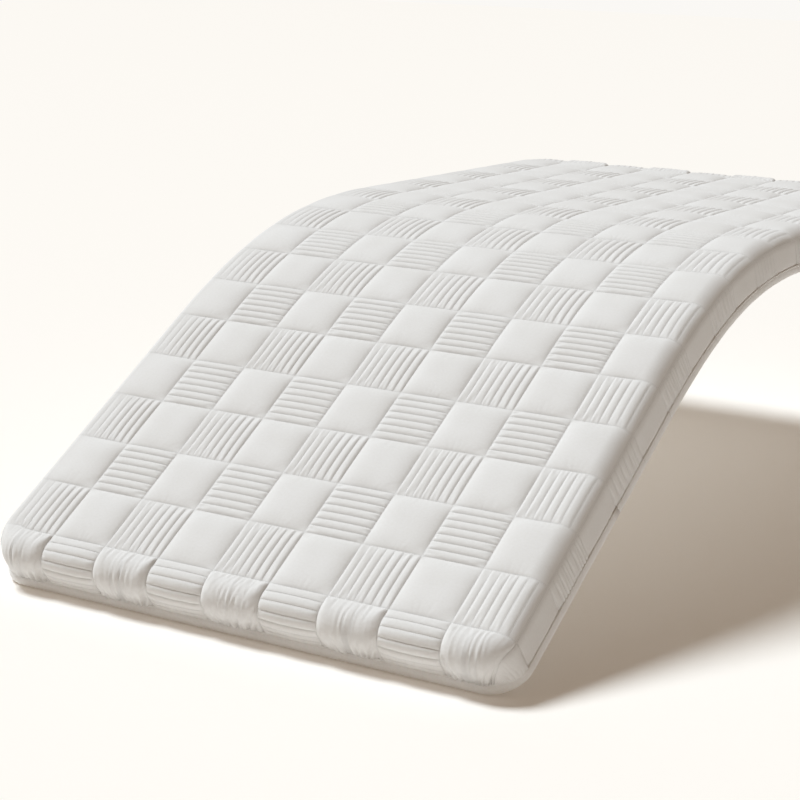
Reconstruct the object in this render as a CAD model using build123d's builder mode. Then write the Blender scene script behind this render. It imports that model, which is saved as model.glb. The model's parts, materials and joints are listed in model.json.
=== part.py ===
from build123d import *
from math import cos, radians, sin
import os

os.makedirs("parts", exist_ok=True)

# Driving dimensions, in millimetres. X is across the width, +Y runs to the head end, +Z is up.
# The origin is on the underside of the flat middle panel, where the mattress lies on its base.
WIDTH = 900.0
LENGTH = 2000.0
THICKNESS = 80.0
CORNER_RADIUS = 60.0  # the corners seen from above
TOP_EDGE_RADIUS = 38.0  # the soft edge all round the top

# The quilting: seams lie on a plane below the tops of the puffs.
PUFF_HEIGHT = 10.0
ROW_LENGTH = 105.0  # from one crosswise seam to the next
ROW_COUNT = 18  # rows between the first and the last crosswise seam
MOUNT_ROW = 12.0  # the origin lies under this row line

# The layers, from the underside up, and how far each stays in from the outline.
LAYER_GAP = 0.4
BASE_CLOTH_THICKNESS = 1.6
EDGE_BAND_HEIGHT = 11.6
EDGE_BAND_INSET = 3.0
EDGE_BAND_THICKNESS = 3.0
SEAM_TAPE_HEIGHT = 2.8
SEAM_TAPE_INSET = 1.5
SUPPORT_CORE_TOP = 36.0
COVER_SIDE_THICKNESS = 16.0
COVER_TOP_THICKNESS = 20.0

# The clearance that is left between two panels.
PANEL_GAP = 0.5

# The panels from foot to head: name, the row line where each ends, and its slope in degrees.
PANELS = [
    ("foot", 3.5, 30.0),
    ("lower_slope", 5.5, 30.0),
    ("bend_1", 6.5, 26.0),
    ("bend_2", 7.5, 21.0),
    ("bend_3", 8.5, 15.0),
    ("bend_4", 9.5, 9.0),
    ("bend_5", 10.5, 4.0),
    ("middle", 13.5, 0.0),
    ("head", None, 0.0),
]

seam_height = THICKNESS - PUFF_HEIGHT
layer_centre = (ROW_COUNT / 2 - MOUNT_ROW) * ROW_LENGTH
band_inner_inset = EDGE_BAND_INSET + EDGE_BAND_THICKNESS
tape_bottom = EDGE_BAND_HEIGHT + LAYER_GAP / 2
cover_bottom = tape_bottom + SEAM_TAPE_HEIGHT + LAYER_GAP / 2
core_inset = COVER_SIDE_THICKNESS + LAYER_GAP
cavity_top = THICKNESS - COVER_TOP_THICKNESS
cavity_edge_radius = TOP_EDGE_RADIUS - COVER_SIDE_THICKNESS


def layer_plane(height):
    return Plane((0, layer_centre, height))


def outline(inset):
    """The mattress outline seen from above, taken in by inset, drawn in the open sketch."""
    RectangleRounded(WIDTH - 2 * inset, LENGTH - 2 * inset, CORNER_RADIUS - inset)


def slab(inset, bottom, top, edge_radius=0.0):
    """A full-length flat layer with its top edge rounded."""
    with BuildPart() as layer:
        with BuildSketch(layer_plane(bottom)):
            outline(inset)
        extrude(amount=top - bottom)
        if edge_radius:
            fillet(layer.faces().sort_by(Axis.Z)[-1].edges(), edge_radius)
    return layer.part


def ring(outer_inset, inner_inset, bottom, top):
    """A full-length strip of cloth that stands round the outline."""
    with BuildPart() as layer:
        with BuildSketch(layer_plane(bottom)):
            outline(outer_inset)
            with BuildSketch(mode=Mode.PRIVATE) as opening:
                outline(inner_inset)
            add(opening.sketch, mode=Mode.SUBTRACT)
        extrude(amount=top - bottom)
    return layer.part


def cover_shell():
    """The quilted cover: top, both sides and both ends, open underneath."""
    with BuildPart() as layer:
        add(slab(0, cover_bottom, THICKNESS, TOP_EDGE_RADIUS))
        add(
            slab(COVER_SIDE_THICKNESS, cover_bottom - 1, cavity_top, cavity_edge_radius),
            mode=Mode.SUBTRACT,
        )
    return layer.part


layers = {
    "quilted_cover": cover_shell(),
    "comfort_layer": slab(
        core_inset, SUPPORT_CORE_TOP + LAYER_GAP, cavity_top - LAYER_GAP, cavity_edge_radius
    ),
    "support_core": slab(core_inset, BASE_CLOTH_THICKNESS + LAYER_GAP, SUPPORT_CORE_TOP),
    "seam_tape": ring(
        SEAM_TAPE_INSET, band_inner_inset, tape_bottom, tape_bottom + SEAM_TAPE_HEIGHT
    ),
    "edge_band": ring(EDGE_BAND_INSET, band_inner_inset, 0, EDGE_BAND_HEIGHT),
    "base_cloth": slab(band_inner_inset + LAYER_GAP, 0, BASE_CLOTH_THICKNESS),
}


def row_line(row):
    """Where a row line lies along the flat mattress."""
    return (row - MOUNT_ROW) * ROW_LENGTH


def fold_plane(point, slope):
    """The cut between two panels: through a point on the seam plane, facing the head end."""
    return Plane(point, x_dir=(1, 0, 0), z_dir=(0, cos(radians(slope)), sin(radians(slope))))


def panel_places():
    """Each panel's place at rest, worked down from the flat middle panel to the foot."""
    places, cuts = {}, {}
    names = [name for name, _, _ in PANELS]
    ends = {name: end for name, end, _ in PANELS}
    slopes = {name: slope for name, _, slope in PANELS}
    middle = names.index("middle")
    for name in names[middle:]:
        places[name] = Location()
        if ends[name] is not None:
            cuts[name] = ((0, row_line(ends[name]), seam_height), 0.0)
    row, y, z = ends[names[middle - 1]], row_line(ends[names[middle - 1]]), seam_height
    for below, above in zip(names[middle - 1 :: -1], names[middle:0:-1]):
        slope = slopes[below]
        cuts[below] = ((0, y, z), (slope + slopes[above]) / 2)
        places[below] = Location((0, y, z), (slope, 0, 0)) * Location(
            (0, -row_line(row), -seam_height)
        )
        index = names.index(below)
        if index > 0:
            reach = (row - ends[names[index - 1]]) * ROW_LENGTH
            y, z = y - reach * cos(radians(slope)), z - reach * sin(radians(slope))
            row = ends[names[index - 1]]
    return places, cuts


places, cuts = panel_places()
panel_names = [name for name, _, _ in PANELS]

for index, panel in enumerate(panel_names):
    for layer_name, layer in layers.items():
        with BuildPart() as piece:
            with Locations(places[panel]):
                add(layer)
            if index > 0:
                point, slope = cuts[panel_names[index - 1]]
                split(bisect_by=fold_plane(point, slope).offset(PANEL_GAP / 2), keep=Keep.TOP)
            if panel in cuts:
                point, slope = cuts[panel]
                split(bisect_by=fold_plane(point, slope).offset(-PANEL_GAP / 2), keep=Keep.BOTTOM)
        piece.part.label = f"{layer_name}_{panel}"
        export_step(piece.part, f"parts/{layer_name}_{panel}.step")
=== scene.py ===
import json
from math import radians

import bmesh
import bpy
import numpy as np
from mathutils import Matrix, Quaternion, Vector

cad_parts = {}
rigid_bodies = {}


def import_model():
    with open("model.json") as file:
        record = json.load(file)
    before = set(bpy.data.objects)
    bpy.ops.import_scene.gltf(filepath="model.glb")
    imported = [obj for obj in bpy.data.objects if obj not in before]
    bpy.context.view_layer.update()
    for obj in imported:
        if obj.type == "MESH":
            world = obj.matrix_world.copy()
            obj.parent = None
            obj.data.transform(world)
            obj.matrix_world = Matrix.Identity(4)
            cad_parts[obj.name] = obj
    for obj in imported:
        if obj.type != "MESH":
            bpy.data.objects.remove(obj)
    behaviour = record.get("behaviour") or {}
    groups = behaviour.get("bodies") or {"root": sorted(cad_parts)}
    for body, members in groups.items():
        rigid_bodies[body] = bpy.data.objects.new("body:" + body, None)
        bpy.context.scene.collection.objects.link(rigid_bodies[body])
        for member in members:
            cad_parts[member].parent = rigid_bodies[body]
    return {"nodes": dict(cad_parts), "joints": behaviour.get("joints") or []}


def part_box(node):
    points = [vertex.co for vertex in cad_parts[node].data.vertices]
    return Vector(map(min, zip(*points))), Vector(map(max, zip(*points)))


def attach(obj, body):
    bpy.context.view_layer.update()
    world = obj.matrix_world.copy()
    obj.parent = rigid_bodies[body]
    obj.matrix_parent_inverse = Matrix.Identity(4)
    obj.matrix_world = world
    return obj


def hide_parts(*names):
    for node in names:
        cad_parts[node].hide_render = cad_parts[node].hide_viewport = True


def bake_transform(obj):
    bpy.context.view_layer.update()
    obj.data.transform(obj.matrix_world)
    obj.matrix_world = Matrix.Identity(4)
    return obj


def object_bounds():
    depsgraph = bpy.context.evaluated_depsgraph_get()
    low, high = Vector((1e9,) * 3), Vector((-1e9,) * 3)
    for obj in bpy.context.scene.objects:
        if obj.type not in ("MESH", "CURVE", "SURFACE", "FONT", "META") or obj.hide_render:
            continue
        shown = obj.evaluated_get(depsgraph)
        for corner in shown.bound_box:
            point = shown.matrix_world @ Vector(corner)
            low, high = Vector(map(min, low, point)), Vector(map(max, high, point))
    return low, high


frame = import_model()
cad_box = [list(corner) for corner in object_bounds()]

# How the mattress hangs: level at the head end, bent over the edge of its base and straight down the
# slope to the foot. The bend is spread over whole rows of quilting, each turning about the hinge in
# its middle, so that the cloth can follow it.
FOOT_TO_HEAD = ["foot", "lower_slope", "bend_1", "bend_2", "bend_3", "bend_4", "bend_5", "middle", "head"]
FIRST_ROW, LAST_ROW = -1, 18  # the rows that go round the foot end and the head end
LEVEL_ROW = 12  # the frame's origin lies under this row line
FOOT_FOLD_ROW, HEAD_FOLD_ROW, LOWEST_BEND_ROW = 3, 13, 5
joints = {joint["name"]: joint for joint in frame["joints"]}
cover_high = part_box("quilted_cover_middle")[1]
base_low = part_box("base_cloth_middle")[0].z
head_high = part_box("quilted_cover_head")[1]
half_width = cover_high.x
PUFF_HEIGHT = 0.010  # from the seams to the tops of the puffs
seam_level = cover_high.z - PUFF_HEIGHT
underside = base_low - seam_level
row_length = joints["head_fold"]["pos_m"][1] / (HEAD_FOLD_ROW + 0.5 - LEVEL_ROW)
foot_line = -LEVEL_ROW * row_length  # the first crosswise seam, along the flat mattress
head_line = (LAST_ROW - LEVEL_ROW) * row_length  # and the last one
end_reach = head_high.y - head_line
CORNER_RADIUS = 0.060  # the corners seen from above

bends = {}
for step, name in enumerate(FOOT_TO_HEAD[2:-1]):
    joint = next(j for j in frame["joints"] if j["parent"] == name and j["child"] == FOOT_TO_HEAD[step + 1])
    bends[LOWEST_BEND_ROW + step] = radians(joint["range_deg"][1])


def slope_at(along):
    """The slope of the mattress, in radians, at distances along it when flat."""
    row = np.asarray(along) / row_length + LEVEL_ROW
    slope = np.zeros_like(row)
    for bend_row, angle in bends.items():
        t = np.clip(row - bend_row, 0, 1)
        slope += angle * (1 - t * t * (3 - 2 * t))
    return slope


# The line of the seams, walked from beyond the head end to beyond the foot end in small steps.
WALK_BEYOND, WALK_POINTS = 0.2, 12001
walk = np.linspace(head_line + WALK_BEYOND, foot_line - WALK_BEYOND, WALK_POINTS)
walk_slope = slope_at((walk[1:] + walk[:-1]) / 2)
walk_step = walk[1] - walk[0]
walk_y = np.concatenate([[walk[0]], walk[0] + np.cumsum(np.cos(walk_slope) * walk_step)])
walk_z = np.concatenate([[seam_level], seam_level + np.cumsum(np.sin(walk_slope) * walk_step)])


def drape(flat):
    """Points of the flat mattress (across, along, above the seams) in their place on the hanging one."""
    across, along, above = np.moveaxis(np.asarray(flat, float), -1, 0)
    slope = slope_at(along)
    y = np.interp(along, walk[::-1], walk_y[::-1]) - np.sin(slope) * above
    z = np.interp(along, walk[::-1], walk_z[::-1]) + np.cos(slope) * above
    return np.stack([across, y, z], axis=-1)


FOLDING_ROWS = [FOOT_FOLD_ROW, *bends, HEAD_FOLD_ROW]


def panel_of(row):
    """The panel that a row belongs to, or the one on the foot side of a row that bends."""
    return sum(row > folding for folding in FOLDING_ROWS)


def follow(piece, first_row, last_row, layer, slot):
    """Gives a stretch of rows its place: it rides on one panel, or, as a single row at a fold or bend, stays
    where it was made.
    """
    panel = panel_of(first_row)
    if first_row in FOLDING_ROWS and last_row == first_row + 1:
        start, end = drape([[0, (row - LEVEL_ROW) * row_length, 0] for row in (first_row, last_row)])
        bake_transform(piece)
    else:
        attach(piece, FOOT_TO_HEAD[panel])
    if first_row not in (FOOT_FOLD_ROW, LOWEST_BEND_ROW, HEAD_FOLD_ROW):
        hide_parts(f"{layer}_{FOOT_TO_HEAD[panel]}")


def place_points(shape, places):
    """Moves a bmesh's points to places that are given on the flat mattress."""
    for vert, place in zip(shape.verts, drape(places)):
        vert.co = place


def new_piece(name, shape, material):
    bmesh.ops.recalc_face_normals(shape, faces=shape.faces)
    mesh = bpy.data.meshes.new(name)
    shape.to_mesh(mesh)
    shape.free()
    mesh.polygons.foreach_set("use_smooth", [True] * len(mesh.polygons))
    mesh.materials.append(material)
    piece = bpy.data.objects.new(name, mesh)
    bpy.context.scene.collection.objects.link(piece)
    return piece


def add_pattern(mesh, pattern):
    """A UV map that holds, in metres, where each point lies on the flat cloth."""
    corners = np.zeros(len(mesh.loops), np.int32)
    mesh.loops.foreach_get("vertex_index", corners)
    uv = np.asarray(pattern, np.float32).reshape(-1, 2)[corners]
    mesh.uv_layers.new(name="pattern").data.foreach_set("uv", uv.ravel())


# The quilted cover's squares: cotton cloth over loose wadding, stitched down on every seam and, in every
# other square, on six lines that leave seven ribs. The cloth is cut larger than the square that it is
# sewn to, so it rises and gathers. Each kind of square is simulated a few times as cloth that is drawn
# in to its stitched lines while the wadding pushes it up.
COLUMNS = 9
SQUARE = 42  # divisions of a square, six to a rib
RIB = 6
SIDE = 20  # divisions of the part square that goes down the side
column_width = 0.0972
division = column_width / SQUARE
DRAW_IN_FRAMES, LAST_FRAME = 8, 13
WADDING_LIFT = 11.0  # the wadding's push, as an acceleration
FIRST_LIFT, UNEVEN_LIFT = 0.0007, 0.0003  # how far the cloth stands off before it is drawn in
SQUARES_APART = 0.16  # in the line in which they are simulated
RIB_SMOOTHING, CROSS_RIB_SMOOTHING = 6, 3  # passes along the ribs
PUFF, SIDE_PUFF = 0.0068, 0.0032  # heights above the seams
RIB_HEIGHT, CROSS_RIB_HEIGHT, END_RIB_HEIGHT = 0.0024, 0.0031, 0.0021
RIB_SWELL, END_RIB_SWELL = 0.0020, 0.0042  # how far a whole ribbed square swells
FULLNESS, RIB_FULLNESS = 0.70, 0.55  # powers: the lower, the flatter the top and the steeper the edges
BULK_SMOOTHING = 24  # passes that leave the bulk of a plain square without its creases
CREASE_DEPTH = {"plain": 0.35, "side_plain": 0.3, "end_plain": 2.3, "corner": 0.8}  # times their own
# Small puckers start at every crosswise seam, and long gathers at the lower seam round the ends.
PUCKER_REACH, GATHER_REACH = 0.004, 0.036
PUCKER_RISE, GATHER_RISE = 0.0004, 0.0010
PUCKER_WIDTH, GATHER_WIDTH = 3.0, 4.2  # in divisions, as are the next three
PUCKER_WANDER, GATHER_WANDER, GATHER_LEAN = 0.5, 0.7, 5
# kind: divisions across, how many are made, spare cloth across and along, and spare across at the
# seams of its two ends
KINDS = {
    "plain": (SQUARE, 6, 1.010, 1.010, 1.045, 1.045),
    "long_ribs": (SQUARE, 5, 1.100, 1.000, 1.060, 1.060),
    "cross_ribs": (SQUARE, 5, 1.018, 1.095, 1.030, 1.030),
    "end_plain": (SQUARE, 6, 1.010, 1.010, 1.110, 1.000),
    "end_cross_ribs": (SQUARE, 4, 1.015, 1.095, 1.080, 1.000),
    "end_long_ribs": (SQUARE, 4, 1.120, 1.000, 1.160, 1.120),
    "side_plain": (SIDE, 4, 1.010, 1.015, 1.010, 1.010),
    "side_cross_ribs": (SIDE, 4, 1.000, 1.100, 1.000, 1.000),
    "corner": (SIDE, 4, 1.040, 1.050, 1.100, 1.020),
}


def stitched(kind, i, j):
    """Which points of a square are held by stitches."""
    across = KINDS[kind][0]
    held = (i == 0) | (i == across) | (j == 0) | (j == SQUARE)
    if "long_ribs" in kind:
        held |= i % RIB == 0
    if "cross_ribs" in kind:
        held |= j % RIB == 0
    return held


def sew_squares():
    """Simulates every square at once and returns {kind: [offsets of the points of one square]}."""
    rng = np.random.default_rng(11)
    made, cloth = [], bmesh.new()
    for kind, (across, count, *_) in KINDS.items():
        for _ in range(count):
            bmesh.ops.create_grid(cloth, x_segments=across, y_segments=SQUARE, size=0.5)
            made.append(kind)
    mesh = bpy.data.meshes.new("squares")
    cloth.to_mesh(mesh)
    cloth.free()
    sewn, cut, held = [], [], []
    for number, kind in enumerate(made):
        across, _, spare_x, spare_y, spare_low, spare_high = KINDS[kind]
        j, i = np.mgrid[0 : SQUARE + 1, 0 : across + 1]
        x = (i / across - 0.5) * across * division
        y = (j / SQUARE - 0.5) * row_length
        pins = stitched(kind, i, j)
        from_low, from_high = y - y.min(), y.max() - y
        wander = rng.normal(0, PUCKER_WANDER, i.shape[1])
        pucker = np.cos(2 * np.pi * (i + wander) / PUCKER_WIDTH)
        near_seams = np.exp(-from_low / PUCKER_REACH) + np.exp(-from_high / PUCKER_REACH)
        gathers = PUCKER_RISE * pucker * near_seams
        reach = PUCKER_REACH
        if kind.startswith("end") or kind == "corner":
            reach = GATHER_REACH
            wander = rng.normal(0, GATHER_WANDER, i.shape[1])
            wander = wander + rng.normal(0, GATHER_LEAN) * from_low / row_length
            gather = np.cos(2 * np.pi * (i + wander + rng.uniform(0, GATHER_WIDTH)) / GATHER_WIDTH)
            gathers = GATHER_RISE * gather * np.exp(-from_low / (2 * reach))
        if kind == "long_ribs":
            gathers = 0 * gathers
        lift = np.where(pins, 0, FIRST_LIFT + gathers + UNEVEN_LIFT * rng.random(x.shape))
        widen = spare_x + (spare_low - spare_x) * np.exp(-from_low / reach)
        widen = widen + (spare_high - spare_x) * np.exp(-from_high / PUCKER_REACH)
        aside = number * SQUARES_APART
        sewn.append(np.stack([x + aside, y, lift], -1).reshape(-1, 3))
        cut.append(np.stack([x * widen + aside, y * spare_y, lift], -1).reshape(-1, 3))
        held.append(pins.reshape(-1))
    sizes = [len(part) for part in sewn]
    sewn, cut, held = np.concatenate(sewn), np.concatenate(cut), np.concatenate(held)
    mesh.vertices.foreach_set("co", cut.astype(np.float32).ravel())
    squares = bpy.data.objects.new("squares", mesh)
    bpy.context.scene.collection.objects.link(squares)
    squares.shape_key_add(name="cut")
    drawn_in = squares.shape_key_add(name="drawn_in")
    drawn_in.data.foreach_set("co", sewn.astype(np.float32).ravel())
    for value, when in ((0, 1), (1, DRAW_IN_FRAMES)):
        drawn_in.value = value
        drawn_in.keyframe_insert("value", frame=when)
    stitches = squares.vertex_groups.new(name="stitches")
    stitches.add([int(v) for v in np.nonzero(held)[0]], 1.0, "REPLACE")
    modifier = squares.modifiers.new("cloth", "CLOTH")
    cotton = modifier.settings
    cotton.quality = 6
    cotton.mass = 0.15
    cotton.tension_stiffness = cotton.compression_stiffness = 25
    cotton.shear_stiffness = 8
    cotton.bending_stiffness = 0.5
    cotton.air_damping = 1
    cotton.vertex_group_mass = "stitches"
    modifier.collision_settings.use_collision = False
    modifier.point_cache.frame_end = LAST_FRAME
    scene = bpy.context.scene
    scene.gravity = (0, 0, WADDING_LIFT)
    for number in range(1, LAST_FRAME + 1):
        scene.frame_set(number)
    found = squares.evaluated_get(bpy.context.evaluated_depsgraph_get()).to_mesh()
    points = np.zeros(len(found.vertices) * 3, np.float32)
    found.vertices.foreach_get("co", points)
    offsets = points.reshape(-1, 3) - sewn * (1, 1, 0)
    bpy.data.objects.remove(squares)
    scene.frame_set(1)
    result, start = {kind: [] for kind in KINDS}, 0
    for kind, size in zip(made, sizes):
        result[kind].append(offsets[start : start + size].reshape(SQUARE + 1, -1, 3))
        start += size
    return result


def smooth_along(offsets, held, axis, passes):
    """Evens the offsets out along one direction, leaving the stitched points where they are."""
    for _ in range(passes):
        near = np.roll(offsets, 1, axis) + np.roll(offsets, -1, axis)
        offsets = np.where(held, offsets, offsets / 2 + near / 4)
    return offsets


USUAL_TOP, HIGHEST_RIB = 92, 1.3  # the percentile that is taken for a rib's top, and the most above it
SIDEWAYS_SLIP = 0.15  # the share of a rib's slip to one side that the wadding leaves
SQUARENESS = 3.2  # power: the higher, the squarer a plain square's flat top


def relax(kind, offsets):
    """Springy wadding irons out the finest creases and fills a square to a flat top with steep edges."""
    j, i = np.mgrid[0 : offsets.shape[0], 0 : offsets.shape[1]]
    held = stitched(kind, i, j)[..., None]
    if "ribs" in kind:
        way, height, passes = 1, CROSS_RIB_HEIGHT, CROSS_RIB_SMOOTHING
        if "long_ribs" in kind:
            way, height, passes = 0, RIB_HEIGHT, RIB_SMOOTHING
        most_swell = RIB_SWELL
        if kind.startswith("end"):
            height, most_swell = END_RIB_HEIGHT, END_RIB_SWELL
        offsets = smooth_along(offsets, held, way, passes)
        rise = offsets[..., 2]
        rise = height * np.clip(rise / np.percentile(rise, USUAL_TOP), 0, HIGHEST_RIB) ** RIB_FULLNESS
        offsets[..., way] *= SIDEWAYS_SLIP
        swell = np.sin(np.pi * i / i.max()) * np.sin(np.pi * j / SQUARE)
        offsets[..., 2] = rise + most_swell * swell**0.5
    else:
        bulk = offsets[..., 2:]
        for axis in (0, 1):
            bulk = smooth_along(bulk, held, axis, BULK_SMOOTHING)
        creases = smooth_along(offsets, held, 0, 1)[..., 2] - bulk[..., 0]
        height = SIDE_PUFF if kind == "side_plain" else PUFF
        square = 1 - np.abs(2 * i / i.max() - 1) ** SQUARENESS
        square = square * (1 - np.abs(2 * j / SQUARE - 1) ** SQUARENESS)
        offsets[..., 2] = height * square**FULLNESS + creases * CREASE_DEPTH[kind]
    return offsets


squares = sew_squares()
squares = {kind: [relax(kind, made) for made in each] for kind, each in squares.items()}

# The quilted cover itself goes over the top, down both sides and round both ends as one cloth, down to
# the seam above the edge band. It turns down tightly along the left edge, and in a wide, soft curve
# along the right edge and round the ends.
LEFT_TURN, RIGHT_TURN = (0.012, radians(84)), (0.029, radians(79))  # radius and angle
END_TURN = (0.029, radians(98))
LEFT_INSET, RIGHT_INSET, END_INSET = 0.0035, 0.0065, 0.0115  # of the lower seam, from the outline
CORNER_SQUARENESS = 4  # power: the higher, the less the cloth is drawn in across a corner's top
CROWDING = 0.18  # how much the rows of cloth are pushed together at the bottom of an end
COVER_DROP = 0.0580  # from the top seams down to the seam above the band
half_cloth = (COLUMNS / 2) * column_width + SIDE * division


def edge_cloth(radius, turn):
    """The cloth that goes down an edge, and how far out it ends up."""
    straight = (COVER_DROP - radius * (1 - np.cos(turn))) / np.sin(turn)
    return turn * radius + straight, radius * np.sin(turn) + straight * np.cos(turn)


end_cloth, end_out = edge_cloth(*END_TURN)
end_start = end_reach - END_INSET - end_out  # the top is level up to here
end_cloth_length = end_start + end_cloth


def turn_down_edge(past, radius, turn):
    """How far out and down the cloth is, past the level top, and which way it faces."""
    angle = np.clip(past / radius, 0, turn)
    straight = np.clip(past - turn * radius, 0, None)
    out = np.minimum(past, 0) + radius * np.sin(angle) + straight * np.cos(turn)
    down = radius * (1 - np.cos(angle)) + straight * np.sin(turn)
    return out, down, np.sin(angle), np.cos(angle)


def over_the_edges(across, along):
    """The flat cloth's points laid over the mattress, and which way the cloth faces there."""
    side, left = np.sign(across), across < 0
    radius, turn = (np.where(left, *pair) for pair in zip(LEFT_TURN, RIGHT_TURN))
    inset = np.where(left, LEFT_INSET, RIGHT_INSET)
    side_cloth, side_out = edge_cloth(radius, turn)
    side_start = half_width - inset - side_out  # the top is level up to here
    corner_flat = CORNER_RADIUS - inset - side_out
    # How far past the level top, with the spare cloth at the side spread evenly over the edge.
    past_side = np.abs(across) - side_start
    past_side = np.where(past_side > 0, past_side * side_cloth / (half_cloth - side_start), past_side)
    end = np.where(along > (foot_line + head_line) / 2, 1.0, -1.0)
    past_end = np.where(end > 0, along - head_line, foot_line - along) - end_start
    # In a corner, the distance and the direction from the middle of its rounding.
    from_side, from_end = past_side + corner_flat, past_end + corner_flat
    corner = (from_side > 0) & (from_end > 0)
    reach, short = np.maximum(from_side, from_end), np.minimum(from_side, from_end)
    rounder = np.maximum(reach, 0) ** CORNER_SQUARENESS + np.maximum(short, 0) ** CORNER_SQUARENESS
    rounder = rounder ** (1 / CORNER_SQUARENESS)
    free = np.clip(1 - (reach / (corner_flat + side_cloth)) ** 2, 0, 1)
    reach = np.where(corner, reach + (rounder - reach) * free, 1)
    turned = np.where(corner, np.arctan2(from_end, from_side), np.where(from_side > from_end, 0, np.pi / 2))
    # The edge turns down, round a corner with a turn that changes from the side's to the end's.
    past = np.where(corner, reach - corner_flat, np.maximum(past_side, past_end))
    radius = radius + (END_TURN[0] - radius) * np.sin(turned) ** 2
    turn = turn + (END_TURN[1] - turn) * np.sin(turned) ** 2
    past = np.minimum(past, edge_cloth(radius, turn)[0])
    out, down, lean, rise = turn_down_edge(past, radius, turn)
    # Back to distances from where the level top ends.
    reach_side = np.where(corner, (corner_flat + out) * np.cos(turned) - corner_flat, past_side)
    reach_end = np.where(corner, (corner_flat + out) * np.sin(turned) - corner_flat, past_end)
    on_side = ~corner & (past_side > 0) & (past_side >= past_end)
    on_end = ~corner & (past_end > 0) & (past_end > past_side)
    reach_side = np.where(on_side, out, reach_side)
    reach_end = np.where(on_end, out, reach_end)
    lean = np.where(corner | on_side | on_end, lean, 0)
    x = side * (side_start + reach_side)
    y = np.where(end > 0, head_line, foot_line) + end * (end_start + reach_end)
    points = np.stack([x, y, -np.where(lean > 0, down, 0)], -1)
    faces = np.stack(
        [side * lean * np.cos(turned), end * lean * np.sin(turned), np.where(lean > 0, rise, 1)], -1
    )
    return points, faces


def square_kind(column, row):
    """The checkerboard: every other square is ribbed, along in one row and across in the next."""
    ribbed = column % 2 == row % 2
    ribs = "long_ribs" if row % 2 == 0 else "cross_ribs"
    if row in (FIRST_ROW, LAST_ROW):
        if column in (-1, COLUMNS):
            return "corner"
        return "end_" + ribs if ribbed else "end_plain"
    if column in (-1, COLUMNS):
        return "side_cross_ribs" if ribbed and ribs == "cross_ribs" else "side_plain"
    return ribs if ribbed else "plain"


def end_spacing(j):
    """Round an end the rows of cloth are pushed together towards the bottom."""
    t = j / SQUARE
    return end_cloth_length * t * (1 + CROWDING * (1 - t))


def node(tree, kind, *inputs, **settings):
    """Adds a shader node, with values or links for its first sockets, and returns its first output."""
    made = tree.nodes.new("ShaderNode" + kind)
    for setting, value in settings.items():
        setattr(made, setting, value)
    for socket, value in zip(made.inputs, inputs):
        if isinstance(value, bpy.types.NodeSocket):
            tree.links.new(value, socket)
        elif value is not None:
            socket.default_value = value
    return made.outputs[0]


def maths(tree, operation, *values):
    return node(tree, "Math", *values, operation=operation)


def new_group(name, inputs, outputs):
    group = bpy.data.node_groups.new(name, "ShaderNodeTree")
    for socket in inputs:
        kind = "NodeSocketVector" if socket == "Place" else "NodeSocketFloat"
        group.interface.new_socket(socket, in_out="INPUT", socket_type=kind)
    for socket in outputs:
        group.interface.new_socket(socket, in_out="OUTPUT", socket_type="NodeSocketFloat")
    return group, group.nodes.new("NodeGroupInput").outputs, group.nodes.new("NodeGroupOutput").inputs


FUZZ_SCALE, MOTTLE_SCALE, FINE_MOTTLE_SCALE = 900.0, 14.0, 260.0  # patches in a metre
FUZZ_SHARE, THREAD_RELIEF = 1.2, 0.02  # against the threads' own relief, and in thread widths


def weave_group():
    """A plain weave: threads that pass over and under one another, with the fuzz of spun cotton."""
    group, given, result = new_group("weave", ["Place", "Thread"], ["Height", "Mottle"])
    threads = node(group, "VectorMath", given["Place"], given["Thread"], operation="DIVIDE")
    split = group.nodes.new("ShaderNodeSeparateXYZ")
    group.links.new(threads, split.inputs[0])
    warp = maths(group, "SINE", maths(group, "MULTIPLY", split.outputs[0], np.pi))
    weft = maths(group, "SINE", maths(group, "MULTIPLY", split.outputs[1], np.pi))
    crossing = maths(group, "MULTIPLY", warp, weft)
    fuzz = node(group, "TexNoise", given["Place"], None, FUZZ_SCALE, 3.0)
    rough = maths(group, "MULTIPLY_ADD", fuzz, FUZZ_SHARE, crossing)
    height = maths(group, "MULTIPLY", rough, given["Thread"])
    group.links.new(maths(group, "MULTIPLY", height, THREAD_RELIEF), result["Height"])
    slow = node(group, "TexNoise", given["Place"], None, MOTTLE_SCALE, 3.0)
    fine = node(group, "TexNoise", given["Place"], None, FINE_MOTTLE_SCALE, 2.0)
    group.links.new(maths(group, "ADD", slow, fine), result["Mottle"])
    return group


STITCH = 0.0035  # from one needle hole to the next
STITCH_TIP = (0.36, 0.44)  # where a stitch dives into the cloth, in stitches from its middle
THREAD_EDGE = (0.00035, 0.0006)  # from the middle of the line, as is the painted shade's
# Painted shade: the band along each stitched line where the cloth is coloured darker.
PAINTED_SHADE_EDGE = (0.0002, 0.0019)


def seam_group():
    """Lock stitches along a line: the thread, and a band of painted shade where it pulls the cloth into a
    groove.
    """
    group, given, result = new_group("stitched_seam", ["Aside", "Along"], ["Thread", "Painted shade"])
    step = maths(group, "FRACT", maths(group, "MULTIPLY", given["Along"], 1 / STITCH))
    from_middle = maths(group, "ABSOLUTE", maths(group, "SUBTRACT", step, 0.5))
    dash = node(group, "MapRange", from_middle, *STITCH_TIP, 1.0, 0.0)
    near = node(group, "MapRange", given["Aside"], *THREAD_EDGE, 1.0, 0.0)
    group.links.new(maths(group, "MULTIPLY", dash, near), result["Thread"])
    group.links.new(node(group, "MapRange", given["Aside"], *PAINTED_SHADE_EDGE, 1.0, 0.0), result["Painted shade"])
    return group


def use_group(tree, group, *inputs):
    placed = tree.nodes.new("ShaderNodeGroup")
    placed.node_tree = group
    for socket, value in zip(placed.inputs, inputs):
        if isinstance(value, bpy.types.NodeSocket):
            tree.links.new(value, socket)
        else:
            socket.default_value = value
    return placed.outputs


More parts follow.
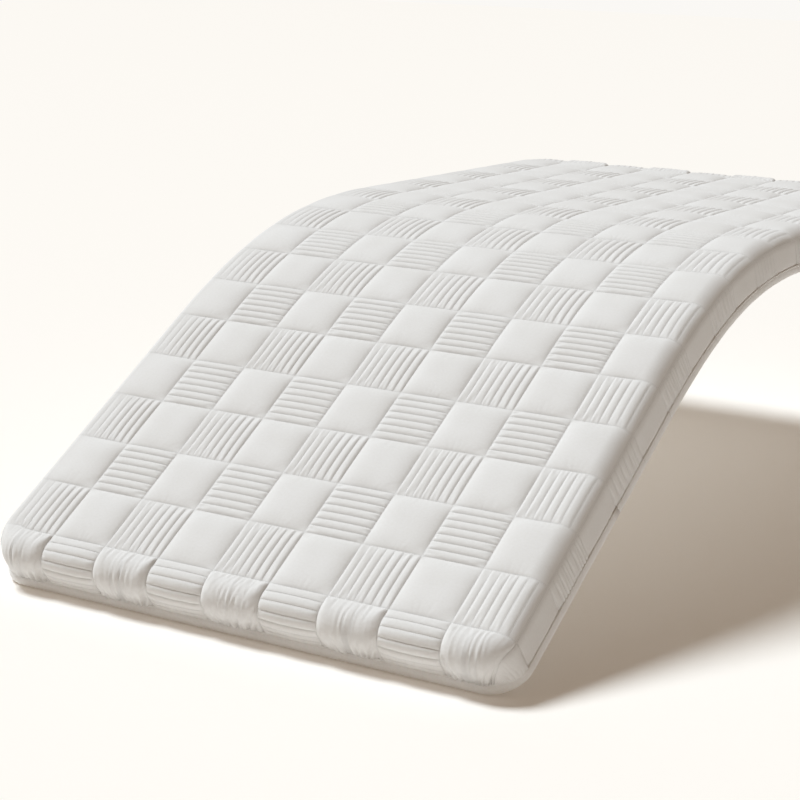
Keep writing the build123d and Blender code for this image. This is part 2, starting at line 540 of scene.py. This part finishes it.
def from_nearest_line(tree, lines, spacing):
    """Distance in metres to the nearest of evenly spaced lines, from a place counted in lines."""
    from_middle = maths(tree, "ABSOLUTE", maths(tree, "SUBTRACT", maths(tree, "FRACT", lines), 0.5))
    return maths(tree, "MULTIPLY", maths(tree, "SUBTRACT", 0.5, from_middle), spacing)


def quilting_lines(tree, place):
    """Thread masks, and masks of painted shade along the grooves, of every stitched line of the
    checkerboard.
    """
    split = tree.nodes.new("ShaderNodeSeparateXYZ")
    tree.links.new(place, split.inputs[0])
    across, along = split.outputs[0], split.outputs[1]
    column = maths(tree, "MULTIPLY_ADD", across, 1 / column_width, COLUMNS / 2)
    row = maths(tree, "MULTIPLY_ADD", along, 1 / row_length, LEVEL_ROW)
    ribs = SQUARE / RIB
    whole_row = maths(tree, "FLOOR", row)
    plain = maths(tree, "PINGPONG", maths(tree, "ADD", maths(tree, "FLOOR", column), whole_row), 1.0)
    cross = maths(tree, "PINGPONG", whole_row, 1.0)
    from_middle = maths(tree, "ABSOLUTE", maths(tree, "SUBTRACT", row, LAST_ROW / 2))
    in_end = maths(tree, "GREATER_THAN", from_middle, LAST_ROW / 2)
    in_side = maths(tree, "GREATER_THAN", maths(tree, "ABSOLUTE", across), COLUMNS / 2 * column_width)
    no_ribs = maths(tree, "MAXIMUM", plain, maths(tree, "MULTIPLY", in_end, in_side))
    no_long = maths(tree, "MAXIMUM", no_ribs, cross)
    no_cross = maths(tree, "MAXIMUM", no_ribs, maths(tree, "SUBTRACT", 1.0, cross))
    lines = []
    for lines_across, spacing, hidden, run in (
        (column, column_width, 0.0, along),
        (row, row_length, 0.0, across),
        (maths(tree, "MULTIPLY", column, ribs), column_width / ribs, no_long, along),
        (maths(tree, "MULTIPLY", row, ribs), row_length / ribs, no_cross, across),
    ):
        aside = maths(tree, "ADD", hidden, from_nearest_line(tree, lines_across, spacing))
        lines.append(use_group(tree, stitched_seam, aside, run))
    thread, painted_crease_shade = lines[0]["Thread"], lines[0]["Painted shade"]
    for more in lines[1:]:
        thread = maths(tree, "MAXIMUM", thread, more["Thread"])
        painted_crease_shade = maths(tree, "MAXIMUM", painted_crease_shade, more["Painted shade"])
    return thread, painted_crease_shade


def blend_colour(tree, share, one, other):
    mix = tree.nodes.new("ShaderNodeMix")
    mix.data_type = "RGBA"
    tree.links.new(share, mix.inputs[0])
    for socket, colour in ((mix.inputs[6], one), (mix.inputs[7], other)):
        if isinstance(colour, bpy.types.NodeSocket):
            tree.links.new(colour, socket)
        else:
            socket.default_value = (*colour, 1)
    return mix.outputs[2]


# Each cotton cloth mottles slightly, and along the stitched lines of the quilting its colour is darkened as
# painted shade in the grooves.
THREAD_COLOUR, THREAD_HEIGHT = (0.90, 0.89, 0.87), 0.00025
MOTTLE_RANGE = (0.7, 1.3)  # from the darkest and roughest of the cloth to the lightest and smoothest
# The second is painted shade: the share of the cloth's colour left along the stitched grooves.
DARKER_THREADS, CREASE_PAINTED_SHADE = (0.955, 0.950, 0.940), 0.84
MOST_ROUGH, LEAST_ROUGH = 0.95, 0.80


def cloth_material(name, colour, thread, seams=False):
    """Woven cotton in the piece's own flat pattern, with the stitched lines of the quilting on it."""
    material = bpy.data.materials.new(name)
    material.use_nodes = True
    tree = material.node_tree
    shader = tree.nodes["Principled BSDF"]
    shader.inputs["Sheen Weight"].default_value = 0.15
    shader.inputs["Sheen Roughness"].default_value = 0.6
    shader.inputs["Specular IOR Level"].default_value = 0.25
    uv = tree.nodes.new("ShaderNodeUVMap")
    uv.uv_map = "pattern"
    place = uv.outputs["UV"]
    woven = use_group(tree, weave, place, thread)
    shade = node(tree, "MapRange", woven["Mottle"], *MOTTLE_RANGE, 0.0, 1.0)
    darker = tuple(part * tone for part, tone in zip(colour, DARKER_THREADS))
    surface = blend_colour(tree, shade, darker, colour)
    height = woven["Height"]
    if seams:
        stitches, painted_crease_shade = quilting_lines(tree, place)
        # Painted shade: the cloth is coloured darker along each stitched line, where the groove lies in
        # shade.
        surface = blend_colour(tree, painted_crease_shade, surface, tuple(part * CREASE_PAINTED_SHADE for part in colour))
        surface = blend_colour(tree, stitches, surface, THREAD_COLOUR)
        height = maths(tree, "MULTIPLY_ADD", stitches, THREAD_HEIGHT, height)
    tree.links.new(surface, shader.inputs["Base Color"])
    rough = node(tree, "MapRange", woven["Mottle"], *MOTTLE_RANGE, MOST_ROUGH, LEAST_ROUGH)
    tree.links.new(rough, shader.inputs["Roughness"])
    bump = tree.nodes.new("ShaderNodeBump")
    bump.inputs["Distance"].default_value = 1.0
    tree.links.new(height, bump.inputs["Height"])
    tree.links.new(bump.outputs["Normal"], shader.inputs["Normal"])
    return material


weave = weave_group()
stitched_seam = seam_group()


# Where the top turns down into the side the wadding is packed tight: the seam there is shallow and the
# ribs are faint.
SHOULDER_REACH = 14  # divisions, to either side of the seam
SHOULDER_FILL, SHOULDER_CALM = 0.0020, 0.80  # height of the seam, and the share of relief lost there
SHOULDER_FADE = 3  # it fades away over this part of an end row, one third, at the lower seam
UNEVEN_SEWING = (0.92, 1.06)  # the least and the most that a square rises, against the simulated one
ACROSS = 2 * SIDE + COLUMNS * SQUARE
QUILT_DEPTH = 0.007  # from the seams down to the lining


def row_offsets(row, rng):
    """How the cloth of one row stands off the plain surface, put together from its simulated squares."""
    offsets = np.zeros((SQUARE + 1, ACROSS + 1, 3))
    for column in range(-1, COLUMNS + 1):
        made = squares[square_kind(column, row)]
        made = made[rng.integers(len(made))]
        if rng.random() < 0.5:
            made = made[:, ::-1] * (-1, 1, 1)
        if row == LAST_ROW or (row != FIRST_ROW and rng.random() < 0.5):
            made = made[::-1] * (1, -1, 1)
        first = 0 if column < 0 else SIDE + column * SQUARE
        offsets[:, first : first + made.shape[1]] += made * rng.uniform(*UNEVEN_SEWING)
    shoulder = np.minimum(*(np.abs(np.arange(ACROSS + 1) - seam) for seam in (SIDE, ACROSS - SIDE)))
    shoulder = np.exp(-((shoulder / SHOULDER_REACH) ** 2)) * np.ones((SQUARE + 1, 1))
    if row in (FIRST_ROW, LAST_ROW):
        offsets[..., 1] = 0
        from_rim = np.linspace(0, SHOULDER_FADE, SQUARE + 1)[:: -1 if row == LAST_ROW else 1]
        shoulder *= np.minimum(from_rim, 1)[:, None]
    offsets[..., 2] += shoulder * (SHOULDER_FILL - offsets[..., 2] * SHOULDER_CALM)
    return offsets


def quilt_row(row):
    """One row of the cover: cloth, wadding under it and a plain lining, closed along the seams."""
    rng = np.random.default_rng(100 + row)
    quilt = bmesh.new()
    bmesh.ops.create_grid(quilt, x_segments=ACROSS, y_segments=SQUARE, size=0.5)
    bmesh.ops.create_grid(quilt, x_segments=ACROSS // 2, y_segments=SQUARE // 2, size=0.5)
    quilt.verts.ensure_lookup_table()
    cloth_point = np.arange((ACROSS + 1) * (SQUARE + 1)).reshape(SQUARE + 1, ACROSS + 1)
    lining_point = np.arange((ACROSS // 2 + 1) * (SQUARE // 2 + 1)).reshape(SQUARE // 2 + 1, -1)
    lining_point = lining_point + cloth_point.size
    for edge in (np.s_[0, :], np.s_[-1, :], np.s_[:, 0], np.s_[:, -1]):
        outer, inner = cloth_point[edge], lining_point[edge]
        for n in range(len(inner) - 1):
            corners = [*outer[2 * n : 2 * n + 3], inner[n + 1], inner[n]]
            quilt.faces.new([quilt.verts[int(corner)] for corner in corners])
    j, i = np.mgrid[0 : SQUARE + 1, 0 : ACROSS + 1]
    across = i * division - half_cloth
    pattern = np.stack([across, (row - LEVEL_ROW + j / SQUARE) * row_length], -1)
    along = pattern[..., 1]
    if row == FIRST_ROW:
        along = foot_line - end_spacing(SQUARE - j)
    if row == LAST_ROW:
        along = head_line + end_spacing(j)
    offsets = row_offsets(row, rng)
    places, faces = over_the_edges(across + offsets[..., 0], along + offsets[..., 1])
    places = places + faces * offsets[..., 2:]
    under, under_faces = over_the_edges(across[::2, ::2], along[::2, ::2])
    under = under - under_faces * QUILT_DEPTH
    under[..., 2] = np.maximum(under[..., 2], -COVER_DROP)
    places = np.concatenate([places.reshape(-1, 3), under.reshape(-1, 3)])
    place_points(quilt, places)
    piece = new_piece(f"quilt_row_{row - FIRST_ROW + 1:02d}", quilt, quilted_cotton)
    add_pattern(piece.data, np.concatenate([pattern.reshape(-1, 2), pattern[::2, ::2].reshape(-1, 2)]))
    mark_stitched_edges(piece.data, row, cloth_point.size)
    return piece


def mark_stitched_edges(mesh, row, cloth_points):
    """The cloth creases sharply where it is stitched down, and where it meets the lining."""
    ends = np.zeros(len(mesh.edges) * 2, np.int32)
    mesh.edges.foreach_get("vertices", ends)
    ends = ends.reshape(-1, 2)
    i, j = ends % (ACROSS + 1), ends // (ACROSS + 1)
    lengthwise, crosswise = i[:, 0] == i[:, 1], j[:, 0] == j[:, 1]
    square, rib = (i[:, 0] - SIDE) % SQUARE, (i[:, 0] - SIDE) % RIB
    column = (i.min(1) - SIDE) // SQUARE
    sharp = lengthwise & (square == 0)
    sharp |= (j.min(1) == 0) & crosswise | (j.min(1) == SQUARE)
    for number in range(-1, COLUMNS + 1):
        kind = square_kind(number, row)
        if "long_ribs" in kind:
            sharp |= (column == number) & lengthwise & (rib == 0)
        if "cross_ribs" in kind:
            sharp |= (column == number) & crosswise & (j[:, 0] % RIB == 0)
    sharp |= ends.max(1) >= cloth_points
    mesh.attributes.new("sharp_edge", "BOOLEAN", "EDGE").data.foreach_set("value", sharp)


quilted_cotton = cloth_material("quilted_cotton", (0.865, 0.860, 0.855), thread=0.0009, seams=True)
for row in range(FIRST_ROW, LAST_ROW + 1):
    piece = quilt_row(row)
    follow(piece, row, row + 1, "quilted_cover", "quilted_cloth")

# The other layers are made in longer stretches of rows, and in single rows where they bend or fold.
STRETCHES = [
    (FIRST_ROW, FOOT_FOLD_ROW),
    (FOOT_FOLD_ROW, FOOT_FOLD_ROW + 1),
    (FOOT_FOLD_ROW + 1, LOWEST_BEND_ROW),
    *((row, row + 1) for row in bends),
    (max(bends) + 1, HEAD_FOLD_ROW),
    (HEAD_FOLD_ROW, HEAD_FOLD_ROW + 1),
    (HEAD_FOLD_ROW + 1, LAST_ROW + 1),
]
FOLD_STEPS = 36  # divisions of a single row, so that it folds smoothly
SEAM_STEPS, CORNER_STEPS, CROSSING_STEPS = 6, 24, 180  # of the seam: in a row, a corner and an end


def seam_path(first_row, last_row):
    """The runs of the seam below the cover, with the direction that is outwards and the distance along."""
    start = (max(first_row, 0) - LEVEL_ROW) * row_length
    end = (min(last_row, LAST_ROW) - LEVEL_ROW) * row_length
    rows = min(last_row, LAST_ROW) - max(first_row, 0)
    steps = FOLD_STEPS if rows == 1 else rows * SEAM_STEPS
    side = np.stack([np.full(steps + 1, half_cloth), np.linspace(start, end, steps + 1)], -1)
    mirrored = side * (-1, 1)
    if first_row != FIRST_ROW and last_row != LAST_ROW + 1:
        runs = [side, mirrored[::-1]]
    else:
        near, beyond = head_line, head_line + end_cloth_length
        if first_row == FIRST_ROW:
            near, beyond = foot_line, foot_line - end_cloth_length
            side, mirrored = side[::-1], mirrored[::-1]
        corner = np.linspace((half_cloth, near), (half_cloth, beyond), CORNER_STEPS + 1)[1:]
        crossing = np.linspace((half_cloth, beyond), (-half_cloth, beyond), CROSSING_STEPS + 1)[1:-1]
        runs = [np.concatenate([side, corner, crossing, (corner * (-1, 1))[::-1], mirrored[::-1]])]
    for run in runs:
        points, faces = over_the_edges(run[:, 0], run[:, 1])
        outwards = faces * (1, 1, 0)
        outwards = outwards / np.linalg.norm(outwards, axis=1, keepdims=True)
        gone = np.concatenate([[0], np.cumsum(np.linalg.norm(np.diff(points, axis=0), axis=1))])
        yield points, outwards, gone


def inset_of(points):
    """How far points lie inside the mattress's rounded outline."""
    middle = (foot_line + head_line) / 2
    half_length = (head_line - foot_line) / 2 + end_reach
    beyond = np.abs(points[:, :2] - (0, middle)) - (half_width - CORNER_RADIUS, half_length - CORNER_RADIUS)
    return CORNER_RADIUS - np.linalg.norm(np.maximum(beyond, 0), axis=1) - np.minimum(beyond.max(1), 0)


def edge_strip(name, stretch, section, material):
    """A closed strip along the seam. section(inset) gives its outline as (outwards, above the underside)."""
    strip, places, pattern = bmesh.new(), [], []
    for points, outwards, gone in seam_path(*stretch):
        outline = section(inset_of(points))
        count = outline.shape[1]
        bmesh.ops.create_grid(strip, x_segments=count, y_segments=len(points) - 1, size=0.5)
        ring = np.concatenate([outline, outline[:, :1]], 1)
        place = points[:, None] * (1, 1, 0) + outwards[:, None] * ring[..., :1]
        place[..., 2] = ring[..., 1] + underside
        places.append(place.reshape(-1, 3))
        width = np.linalg.norm(np.diff(ring, axis=1), axis=2).cumsum(1)
        width = np.concatenate([0 * width[:, :1], width], 1)
        pattern.append(np.stack([width, np.broadcast_to(gone[:, None], width.shape)], -1).reshape(-1, 2))
    place_points(strip, np.concatenate(places))
    layer = strip.loops.layers.uv.new("pattern")
    strip.verts.index_update()
    pattern = np.concatenate(pattern)
    for face in strip.faces:
        for loop in face.loops:
            loop[layer].uv = pattern[loop.vert.index]
    bmesh.ops.remove_doubles(strip, verts=strip.verts, dist=1e-6)
    bmesh.ops.holes_fill(strip, edges=[edge for edge in strip.edges if edge.is_boundary], sides=0)
    return new_piece(name, strip, material)


# The edge band closes the side below the quilted cover. It is a smooth, doubled strip of cloth that is
# sewn on from the inside, so that its upper edge rolls outwards and stands a little proud of the cover
# all the way round.
BAND_HEIGHT = 0.0128
BAND_LIFT = 0.0006  # above the underside of the base cloth
BAND_TUCK = 0.003  # how far it reaches in under the cover
BAND_EDGE = 0.0015  # how near it comes to the mattress's outline
BAND_SECTION = (  # shares of its reach outwards and of its height
    (0.0, 1.0), (0.45, 1.0), (0.66, 0.93), (0.84, 0.76), (0.95, 0.52),
    (1.0, 0.26), (0.96, 0.08), (0.84, 0.0), (0.0, 0.0),
)


def band_section(inset):
    share, height = np.array(BAND_SECTION).T
    out = -BAND_TUCK + share * (inset[:, None] - BAND_EDGE + BAND_TUCK)
    return np.stack([out, np.broadcast_to(BAND_LIFT + height * BAND_HEIGHT, out.shape)], -1)


edge_band_cloth = cloth_material("edge_band_cloth", (0.95, 0.948, 0.945), thread=0.0007)
for number, stretch in enumerate(STRETCHES):
    piece = edge_strip(f"edge_band_{number + 1:02d}", stretch, band_section, edge_band_cloth)
    follow(piece, *stretch, "edge_band", "edge_band")

# The seam between the cover and the band is bound with a narrow folded tape, stitched through both.
TAPE_MIDDLE, TAPE_HALF_HEIGHT, TAPE_HALF_WIDTH = 0.0136, 0.0016, 0.0022
TAPE_SIDES, TAPE_STANDS_OUT = 12, 0.5  # the second is in half widths


def tape_section(inset):
    angle = np.linspace(0, 2 * np.pi, TAPE_SIDES, endpoint=False)
    out = (np.cos(angle) + TAPE_STANDS_OUT) * TAPE_HALF_WIDTH
    height = TAPE_MIDDLE + np.sin(angle) * TAPE_HALF_HEIGHT
    return np.broadcast_to(np.stack([out, height], -1), (len(inset), len(angle), 2))


seam_tape_cloth = cloth_material("seam_tape_cloth", (0.90, 0.895, 0.885), thread=0.0005)
for number, stretch in enumerate(STRETCHES):
    piece = edge_strip(f"seam_tape_{number + 1:02d}", stretch, tape_section, seam_tape_cloth)
    follow(piece, *stretch, "seam_tape", "seam_tape")

# The base cloth is one plain sheet under the foam, turned up at its edge into the band.
BASE_INSET, BASE_THICKNESS = 0.0064, 0.0016
BASE_STEPS, BASE_ACROSS = 12, 36  # divisions of a row, and of the width
base_cotton = cloth_material("base_cotton", (0.80, 0.79, 0.775), thread=0.0012)


def base_half_width(along):
    """Half the width of the sheet at distances along it, less where the corners are rounded."""
    radius = CORNER_RADIUS - BASE_INSET
    into_corner = np.maximum(foot_line - end_reach + CORNER_RADIUS - along, 0)
    into_corner = np.maximum(into_corner, along - (head_line + end_reach - CORNER_RADIUS))
    return half_width - CORNER_RADIUS + np.sqrt(np.maximum(radius**2 - into_corner**2, 0))


def base_cloth(name, low, high, steps):
    """The sheet from low to high along the mattress: two faces of cloth, closed round the edge."""
    j, i = np.mgrid[0 : steps + 1, 0 : BASE_ACROSS + 1]
    along = low + (high - low) * (1 - np.cos(np.pi * j / steps)) / 2
    across = base_half_width(along) * (2 * i / BASE_ACROSS - 1)
    sheet = bmesh.new()
    for _ in range(2):
        bmesh.ops.create_grid(sheet, x_segments=BASE_ACROSS, y_segments=steps, size=0.5)
    sheet.verts.ensure_lookup_table()
    upper = np.arange(i.size).reshape(i.shape)
    for edge in (np.s_[0, :], np.s_[-1, :], np.s_[:, 0], np.s_[:, -1]):
        for a, b in zip(upper[edge][:-1], upper[edge][1:]):
            corners = (a, b, b + i.size, a + i.size)
            sheet.faces.new([sheet.verts[int(corner)] for corner in corners])
    top = np.stack([across, along, np.full(i.shape, underside + BASE_THICKNESS)], -1).reshape(-1, 3)
    places = np.concatenate([top, top - (0, 0, BASE_THICKNESS)])
    place_points(sheet, places)
    piece = new_piece(name, sheet, base_cotton)
    add_pattern(piece.data, places[:, :2])
    return piece


for number, (first_row, last_row) in enumerate(STRETCHES):
    low = (max(first_row, 0) - LEVEL_ROW) * row_length
    high = (min(last_row, LAST_ROW) - LEVEL_ROW) * row_length
    if first_row == FIRST_ROW:
        low = low - (end_reach - BASE_INSET)
    if last_row > LAST_ROW:
        high = high + (end_reach - BASE_INSET)
    rows = last_row - first_row
    steps = FOLD_STEPS if rows == 1 else rows * BASE_STEPS
    piece = base_cloth(f"base_cloth_{number + 1:02d}", low, high, steps)
    follow(piece, first_row, last_row, "base_cloth", "base_cloth")


# The foam inside is cut from two slabs, a firm core and a softer layer over it, in the panels that the
# frame gives. Both are hidden by the cloth.
def foam_material(name, colour, cell):
    """Foam with open cells of one size, coloured darker in the pits of its cells as painted shade."""
    material = bpy.data.materials.new(name)
    material.use_nodes = True
    tree = material.node_tree
    shader = tree.nodes["Principled BSDF"]
    shader.inputs["Roughness"].default_value = 0.95
    place = tree.nodes.new("ShaderNodeTexCoord").outputs["Object"]
    cells = node(tree, "TexVoronoi", place, None, 1 / cell)
    # Painted shade: the colour darkens towards the middle of each cell, where the bump sinks into a pit.
    tone = node(tree, "MapRange", cells, 0.0, 0.8, 0.0, 1.0)
    surface = blend_colour(tree, tone, tuple(part * 0.82 for part in colour), colour)
    tree.links.new(surface, shader.inputs["Base Color"])
    bump = tree.nodes.new("ShaderNodeBump")
    bump.inputs["Distance"].default_value = cell / 3
    tree.links.new(cells, bump.inputs["Height"])
    tree.links.new(bump.outputs["Normal"], shader.inputs["Normal"])
    return material


FOAMS = {
    "comfort_layer_": foam_material("comfort_foam", (0.86, 0.81, 0.66), 0.0012),
    "support_core_": foam_material("support_foam", (0.78, 0.80, 0.82), 0.0018),
}
for name, part in frame["nodes"].items():
    for layer, foam in FOAMS.items():
        if name.startswith(layer):
            part.material_slots[0].material = foam

# The floor is pale paper, just below the lowest point of the mattress.
FLOOR_CLEARANCE, FLOOR_HALF_SIZE = 0.001, 30
floor_level = cad_box[0][2] - FLOOR_CLEARANCE
floor_mesh = bmesh.new()
bmesh.ops.create_grid(floor_mesh, x_segments=1, y_segments=1, size=FLOOR_HALF_SIZE)
bmesh.ops.translate(floor_mesh, vec=(0, 0, floor_level), verts=floor_mesh.verts)
floor_data = bpy.data.meshes.new("floor")
floor_mesh.to_mesh(floor_data)
floor_mesh.free()
floor = bpy.data.objects.new("floor", floor_data)
bpy.context.scene.collection.objects.link(floor)
paper = bpy.data.materials.new("pale_floor")
paper.use_nodes = True
paper_shader = paper.node_tree.nodes["Principled BSDF"]
paper_shader.inputs["Base Color"].default_value = (0.95, 0.925, 0.89, 1)
paper_shader.inputs["Roughness"].default_value = 1.0
paper_shader.inputs["Emission Color"].default_value = (1.0, 0.87, 0.74, 1)
paper_shader.inputs["Emission Strength"].default_value = 0.09
floor_data.materials.append(paper)

# The sky lights the shaded sides warmly, and is seen behind the mattress as pale as the floor.
world = bpy.data.worlds.new("studio")
world.use_nodes = True
sky = world.node_tree
seen = sky.nodes.new("ShaderNodeLightPath")
shade = sky.nodes["Background"]
shade.inputs["Color"].default_value = (1.0, 0.75, 0.53, 1)
shade.inputs["Strength"].default_value = 0.20
paper_sky = sky.nodes.new("ShaderNodeBackground")
paper_sky.inputs["Color"].default_value = (0.96, 0.94, 0.91, 1)
choose = sky.nodes.new("ShaderNodeMixShader")
sky.links.new(seen.outputs["Is Camera Ray"], choose.inputs["Fac"])
sky.links.new(shade.outputs["Background"], choose.inputs[1])
sky.links.new(paper_sky.outputs["Background"], choose.inputs[2])
sky.links.new(choose.outputs["Shader"], sky.nodes["World Output"].inputs["Surface"])
bpy.context.scene.world = world

# Broad daylight comes from the left and above.
KEY_DIRECTION = Vector((0.54, -0.04, -0.84))
key = bpy.data.lights.new("window_light", "SUN")
key.energy = 3.25
key.angle = radians(20)
key.color = (0.87, 0.935, 0.98)
holder = bpy.data.objects.new("window_light", key)
holder.rotation_mode = "QUATERNION"
holder.rotation_quaternion = KEY_DIRECTION.to_track_quat("-Z", "Y")
bpy.context.scene.collection.objects.link(holder)

# The camera stands at the foot end, to the right, and looks slightly down.
CAMERA_PLACE = (1.4624, -3.3452, 0.5242)
CAMERA_AIM = Vector((-0.4727, 0.85147, -0.22704))
CAMERA_ROLL = radians(1.964)
camera = bpy.data.cameras.new("camera")
camera.lens = 86.7
camera.sensor_width = 36
camera.clip_end = 100
viewer = bpy.data.objects.new("camera", camera)
viewer.location = CAMERA_PLACE
viewer.rotation_mode = "QUATERNION"
viewer.rotation_quaternion = CAMERA_AIM.to_track_quat("-Z", "Y") @ Quaternion((0, 0, 1), CAMERA_ROLL)
bpy.context.scene.collection.objects.link(viewer)
bpy.context.scene.camera = viewer
bpy.context.scene.view_settings.view_transform = "Standard"
